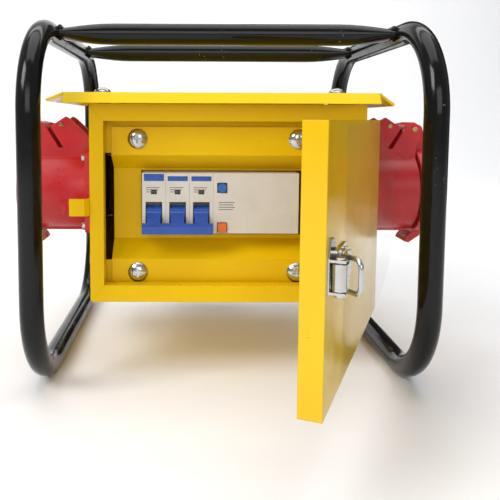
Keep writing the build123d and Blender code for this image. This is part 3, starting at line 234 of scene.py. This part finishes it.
def chrome(name="bright_plate", tint=(0.55, 0.55, 0.53), rough=0.16):
    m = Mat(name, tint, rough, 1.0)
    m.soft_edges(0.0003)
    m.bump(m.noise(1200, 3, 0.6), 0.10, 0.00008)
    spots = m.rng(m.noise(330, 4, 0.62), 0.56, 0.72, 0, 1)
    col = m.mix(m.math("MULTIPLY", spots, 0.5), tint, tuple(c * 0.55 for c in tint))
    # painted highlight: edges and creases lightened toward near white
    e = m.edge(0.0006)
    col = m.mix(m.math("MULTIPLY", e, 0.25), col, (0.90, 0.89, 0.86))
    return m.done(col, m.rng(m.noise(90, 4, 0.6), 0.3, 0.7, rough * 0.7, rough * 1.9))


def zinc():
    m = Mat("zinc_plate", (0.55, 0.56, 0.55), 0.34, 1.0)
    m.soft_edges(0.0003)
    v = m.voronoi(700)
    m.bump(v, 0.12, 0.0001)
    col = m.mix(m.rng(v, 0, 0.7, 0, 1), (0.60, 0.61, 0.60), (0.44, 0.45, 0.46))
    return m.done(col, m.rng(m.noise(120, 4, 0.6), 0.3, 0.7, 0.26, 0.46))


def red_plastic():
    m = Mat("red_polyamide", (0.50, 0.012, 0.014), 0.30, 0.0, coat=0.0, spec=0.5)
    m.b.inputs["Subsurface Weight"].default_value = 0.12
    m.b.inputs["Subsurface Radius"].default_value = (1.0, 0.12, 0.08)
    m.b.inputs["Subsurface Scale"].default_value = 0.0016
    m.soft_edges(0.0006)
    m.bump(m.noise(2200, 2, 0.6), 0.14, 0.00006)
    m.bump(m.noise(45, 2, 0.5), 0.12, 0.0006)
    tone = m.rng(m.noise(24, 4, 0.6), 0.35, 0.7, 0, 1)
    col = m.mix(tone, (0.56, 0.016, 0.020), (0.42, 0.009, 0.012))
    # painted highlight: edges and creases lightened toward a paler red
    e = m.edge(0.0009)
    col = m.mix(m.math("MULTIPLY", e, 0.30), col, (0.66, 0.08, 0.07))
    scuff = m.math("MULTIPLY", m.rng(m.noise(160, 5, 0.7, 0.8), 0.60, 0.72, 0, 1), 0.35)
    col = m.mix(scuff, col, (0.62, 0.10, 0.09))
    return m.done(col, m.rng(m.noise(70, 4, 0.6), 0.3, 0.7, 0.24, 0.40))


def plastic(name, a, b, rough, grain=2400, gs=0.12):
    m = Mat(name, a, rough)
    m.soft_edges(0.0003)
    m.bump(m.noise(grain, 2, 0.6), gs, 0.00005)
    col = m.mix(m.rng(m.noise(60, 4, 0.6), 0.35, 0.7, 0, 1), a, b)
    # painted highlight: edges and creases lightened toward a paler tint of the base
    e = m.edge(0.0005)
    col = m.mix(m.math("MULTIPLY", e, 0.18), col, tuple(min(1, c * 1.5 + 0.02) for c in a))
    return m.done(col, m.rng(m.noise(140, 4, 0.6), 0.3, 0.7, max(0.05, rough - 0.07), rough + 0.09))


def rubber():
    m = Mat("black_rubber", (0.02, 0.02, 0.02), 0.62)
    m.soft_edges(0.0004)
    m.bump(m.noise(1800, 3, 0.6), 0.2, 0.0001)
    col = m.mix(m.rng(m.noise(80, 4, 0.6), 0.35, 0.7, 0, 1), (0.016, 0.016, 0.016), (0.034, 0.032, 0.030))
    return m.done(col, m.rng(m.noise(60, 3, 0.6), 0.3, 0.7, 0.5, 0.75))


def brass():
    m = Mat("turned_brass", (0.72, 0.48, 0.17), 0.22, 1.0)
    m.soft_edges(0.0002)
    m.bump(m.noise(400, 2, 0.5, stretch=(1, 12, 1)), 0.15, 0.00006)
    col = m.mix(m.rng(m.noise(300, 4, 0.6), 0.4, 0.7, 0, 1), (0.76, 0.52, 0.20), (0.48, 0.28, 0.09))
    return m.done(col, m.rng(m.noise(200, 4, 0.6), 0.3, 0.7, 0.16, 0.36))


def film():
    m = Mat("clear_film", (0.93, 0.93, 0.89), 0.08, ior=1.45)
    m.b.inputs["Transmission Weight"].default_value = 0.0
    m.b.inputs["Alpha"].default_value = 0.10
    m.bump(m.noise(60, 3, 0.6), 0.3, 0.0006)
    m.bump(m.noise(7, 2, 0.5), 0.3, 0.004)
    lw = m.n("ShaderNodeLayerWeight")
    lw.inputs["Blend"].default_value = 0.35
    a = m.rng(lw.outputs["Facing"], 0.0, 1.0, 0.03, 0.10)
    m.link(a, m.b.inputs["Alpha"])
    col = m.mix(m.rng(m.noise(40, 3, 0.6), 0.4, 0.7, 0, 1), (0.30, 0.28, 0.22), (0.20, 0.17, 0.11))
    return m.done(col, m.rng(m.noise(90, 4, 0.6), 0.3, 0.7, 0.05, 0.18))


M = {
    "frame_paint": black_paint(),
    "yellow_paint": yellow_paint(),
    # the roof's yellow is a lighter copy of the body coat: painted top light
    "roof_paint": yellow_paint("yellow_roof_coat", (0.84, 0.60, 0.004), (0.80, 0.52, 0.002), 0.22, 0.4),
    "chrome_hardware": chrome(),
    "zinc_steel": zinc(),
    "socket_red": red_plastic(),
    "insert_black": plastic("carrier_black", (0.020, 0.020, 0.021), (0.030, 0.029, 0.028), 0.45),
    "brass": brass(),
    "seal_rubber": rubber(),
    "breaker_white": plastic("case_ivory", (0.66, 0.63, 0.57), (0.60, 0.57, 0.50), 0.36),
    "toggle_blue": plastic("handle_blue", (0.018, 0.085, 0.42), (0.014, 0.066, 0.34), 0.24),
    "button_blue": plastic("button_blue", (0.02, 0.12, 0.42), (0.015, 0.10, 0.34), 0.28),
    "button_orange": plastic("button_orange", (0.80, 0.17, 0.015), (0.68, 0.13, 0.012), 0.32),
    "window_black": plastic("window_dark", (0.010, 0.010, 0.012), (0.016, 0.014, 0.014), 0.12),
    "gland_plastic": plastic("gland_black", (0.026, 0.026, 0.028), (0.036, 0.035, 0.034), 0.5),
    "clear_film": film(),
}
M["weld_metal"] = M["frame_paint"]
SLOT = {p["node"]: p["material_slot"] for p in frame["record"]["subparts"]}
for name, ob in NODES.items():
    mat = M[SLOT[name]]
    ob.data.materials.clear()
    ob.data.materials.append(mat)
NODES["door_pan"].data.materials.clear()
NODES["door_pan"].data.materials.append(door_paint())

# ------------------------------------------------------------------ printed and moulded detail on the breaker
def blocks(name, boxes, mat, ride, bevel=0.0002):
    """several small moulded pads in one piece, edges rounded; boxes as (lo, hi) in metres"""
    bm = bmesh.new()
    for lo, hi in boxes:
        vs = bmesh.ops.create_cube(bm, size=1.0)["verts"]
        for v in vs:
            v.co = Vector((lo[i] + (hi[i] - lo[i]) * (v.co[i] + 0.5) for i in range(3)))
    bmesh.ops.bevel(bm, geom=list(bm.edges), offset=bevel, segments=3, profile=0.6, affect="EDGES")
    me = bpy.data.meshes.new(name)
    bm.to_mesh(me)
    bm.free()
    for q in me.polygons:
        q.use_smooth = True
    ob = bpy.data.objects.new(name, me)
    me.materials.append(mat)
    bpy.context.scene.collection.objects.link(ob)
    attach(ob, ride)
    return ob


P_LO, P_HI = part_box("breaker_poles")
R_LO, R_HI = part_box("rcd_module")
PW = (P_HI.x - P_LO.x) / 3.0
FACE = P_LO.y
stripe = []
marks = []
for i in range(3):
    x0 = P_LO.x + i * PW
    stripe.append(((x0 + 0.0014, FACE - 0.00025, 0.1452), (x0 + PW - 0.0014, FACE + 0.0004, 0.1488 if i else 0.1505)))
    for k in range(3):
        z = 0.1400 - 0.0016 * k
        marks.append(((x0 + 0.0030, FACE - 0.00012, z), (x0 + PW - 0.0046 - 0.0012 * k, FACE + 0.0003, z + 0.0005)))
for k in range(4):
    z = 0.1290 - 0.0018 * k
    marks.append(((R_LO.x + 0.004, R_LO.y - 0.00012, z), (R_LO.x + 0.016 - 0.0013 * (k % 2), R_LO.y + 0.0003, z + 0.0005)))
blocks("breaker_stripe", stripe, M["toggle_blue"], "housing")
blocks("breaker_marks", marks, plastic("print_grey", (0.10, 0.10, 0.11), (0.16, 0.16, 0.17), 0.4), "housing", 0.0001)

# ------------------------------------------------------------------ camera
def make_camera():
    cam = bpy.data.cameras.new("view")
    ob = bpy.data.objects.new("view", cam)
    bpy.context.scene.collection.objects.link(ob)
    yaw, pitch, roll = CAMERA["yaw"], CAMERA["pitch"], CAMERA["roll"]
    f = Vector((math.sin(yaw) * math.cos(pitch), math.cos(yaw) * math.cos(pitch), -math.sin(pitch)))
    r = Vector((math.cos(yaw), -math.sin(yaw), 0))
    u = r.cross(f)
    r2 = r * math.cos(roll) + u * math.sin(roll)
    u2 = u * math.cos(roll) - r * math.sin(roll)
    ob.matrix_world = Matrix(((r2.x, u2.x, -f.x, 0), (r2.y, u2.y, -f.y, 0), (r2.z, u2.z, -f.z, 0), (0, 0, 0, 1)))
    ob.location = mm(CAMERA["x"], CAMERA["y"], CAMERA["z"])
    cam.sensor_width = 36.0
    cam.lens = CAMERA["f"] / 500.0 * 36.0
    cam.shift_x = (250.0 - CAMERA["ppx"]) / 500.0
    cam.shift_y = (CAMERA["ppy"] - 250.0) / 500.0
    cam.clip_start, cam.clip_end = 0.01, 50
    bpy.context.scene.camera = ob


CAMERA = dict(x=-28.777, y=-448.252, z=191.03, yaw=0.004962, pitch=0.083033, roll=0.004035, f=622.262, ppx=190.971, ppy=171.061)
make_camera()


# ------------------------------------------------------------------ stage and lights
def plane(name, sx, sy, loc, rot, mat, camera_visible=True):
    bm = bmesh.new()
    bmesh.ops.create_grid(bm, x_segments=1, y_segments=1, size=0.5)
    me = bpy.data.meshes.new(name)
    bm.to_mesh(me)
    bm.free()
    ob = bpy.data.objects.new(name, me)
    ob.scale = (sx, sy, 1)
    ob.location = loc
    ob.rotation_euler = rot
    me.materials.append(mat)
    bpy.context.scene.collection.objects.link(ob)
    ob.visible_camera = camera_visible
    return ob


def stage_mat(name, col, rough):
    m = Mat(name, col, rough)
    c = m.mix(m.noise(3, 2, 0.5), col, tuple(x * 0.985 for x in col))
    return m.done(c, m.rng(m.noise(5, 2, 0.5), 0.3, 0.7, rough - 0.03, rough + 0.03))


floor_mat = stage_mat("pale_floor", (0.90, 0.90, 0.90), 0.75)
# one sweep: floor running up into a pale backdrop
def sweep_stage():
    bm = bmesh.new()
    prof = [(-3.0, 0.0), (1.6, 0.0)]
    for i in range(1, 13):
        a = math.pi / 2 * i / 12
        prof.append((1.6 + 1.0 * math.sin(a), 1.0 - 1.0 * math.cos(a)))
    prof.append((2.6, 4.0))
    rows = [[bm.verts.new((x, y, z - 0.0004)) for (y, z) in prof] for x in (-4.0, 4.0)]
    for i in range(len(prof) - 1):
        bm.faces.new((rows[0][i], rows[1][i], rows[1][i + 1], rows[0][i + 1]))
    me = bpy.data.meshes.new("backdrop")
    bm.to_mesh(me)
    bm.free()
    for p in me.polygons:
        p.use_smooth = True
    ob = bpy.data.objects.new("backdrop", me)
    me.materials.append(floor_mat)
    bpy.context.scene.collection.objects.link(ob)


sweep_stage()


def area(name, loc, look, sx, sy, power, col=(1, 1, 1)):
    li = bpy.data.lights.new(name, "AREA")
    li.shape = "RECTANGLE"
    li.size, li.size_y = sx, sy
    li.energy = power
    li.color = col
    ob = bpy.data.objects.new(name, li)
    ob.location = loc
    d = Vector(look) - Vector(loc)
    ob.rotation_euler = d.to_track_quat("-Z", "Y").to_euler()
    bpy.context.scene.collection.objects.link(ob)
    return ob


# dark card behind and to the right, seen only in the gloss of the open door
flag = plane("flag_right_rear", 1.5, 1.5, (0.75, 0.85, 0.35), (math.radians(90), 0, math.radians(-33)),
             stage_mat("flag_dark", (0.030, 0.022, 0.010), 0.9), camera_visible=False)
flag.visible_shadow = False
flag.visible_diffuse = False
area("key_left", (-1.3, -1.1, 1.5), (0, 0, 0.12), 0.9, 0.9, 26, (1.0, 0.98, 0.95))
area("top_soft", (0.0, -0.1, 2.1), (0, 0, 0.1), 2.0, 1.6, 22)
area("front_fill", (0.2, -2.2, 0.9), (0, 0, 0.12), 1.6, 1.0, 12)
area("back_wash", (0.0, 1.2, 2.2), (0, 2.4, 0.6), 3.0, 1.0, 30)
world = bpy.data.worlds.new("studio")
world.use_nodes = True
world.node_tree.nodes["Background"].inputs[0].default_value = (0.93, 0.95, 1.0, 1)
world.node_tree.nodes["Background"].inputs[1].default_value = 0.34
bpy.context.scene.world = world
bpy.context.scene.view_settings.view_transform = "Standard"
bpy.context.scene.view_settings.look = "None"
